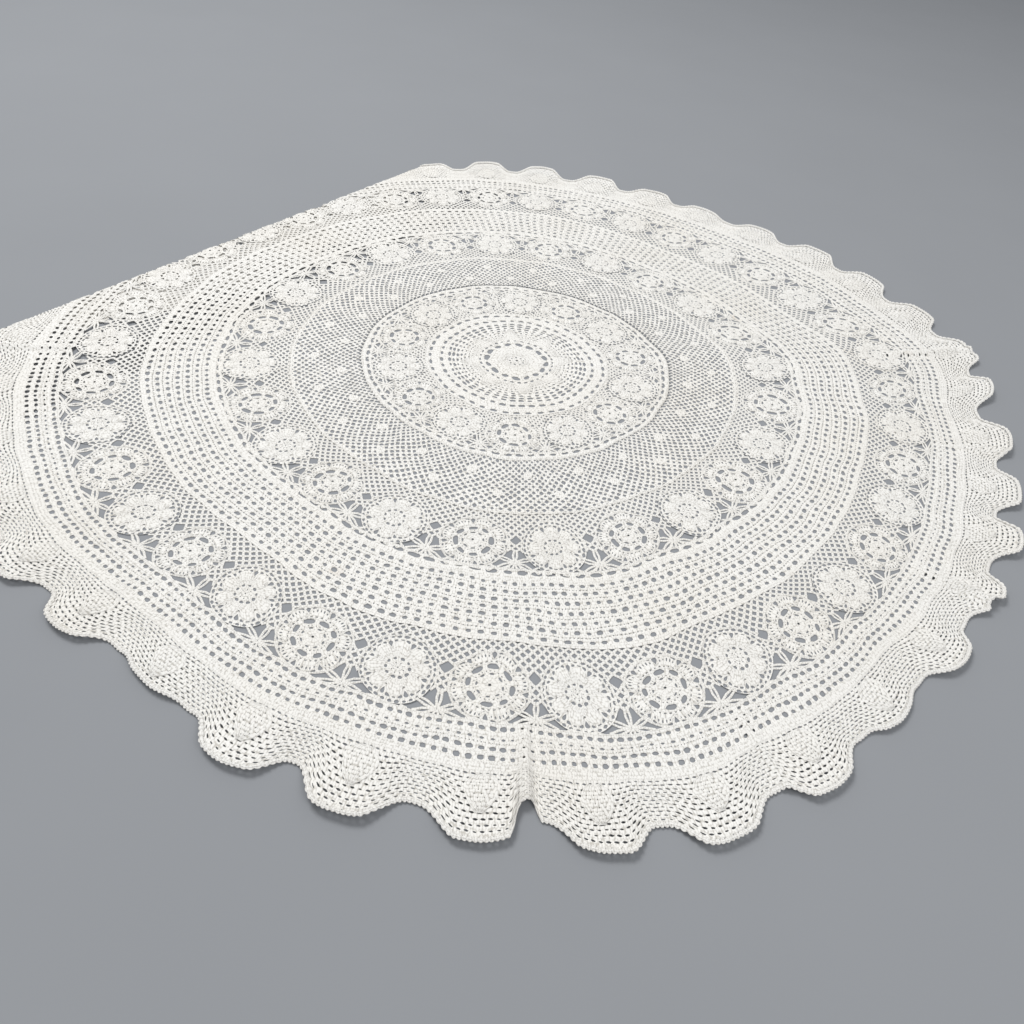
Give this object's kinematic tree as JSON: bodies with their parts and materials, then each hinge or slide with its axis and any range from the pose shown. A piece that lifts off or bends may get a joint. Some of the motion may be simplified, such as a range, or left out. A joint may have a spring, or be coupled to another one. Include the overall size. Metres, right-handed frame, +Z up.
{
  "type": "crochet tablecloth",
  "caption": "Round off-white cotton crochet tablecloth with flower motif rings, net bands and a scalloped ruffle, laid flat with one side turned under.",
  "frame": {"origin": "underside of the cloth at the middle of the centre medallion", "axes": "+Z up from the surface the cloth lies on; -Y towards the viewer; the straight fold is on the -X +Y side"},
  "size_m": [1.738, 1.6943, 0.0155],
  "materials": {
    "cotton_crochet": "matte off-white crochet cotton"
  },
  "bodies": {
    "root": {"centre_medallion": "cotton_crochet", "inner_motif_ring": "cotton_crochet", "spotted_net": "cotton_crochet", "middle_motif_ring": "cotton_crochet", "filet_net": "cotton_crochet", "outer_motif_ring": "cotton_crochet", "openwork_border": "cotton_crochet", "ruffled_edging": "cotton_crochet"}
  },
  "joints": []
}
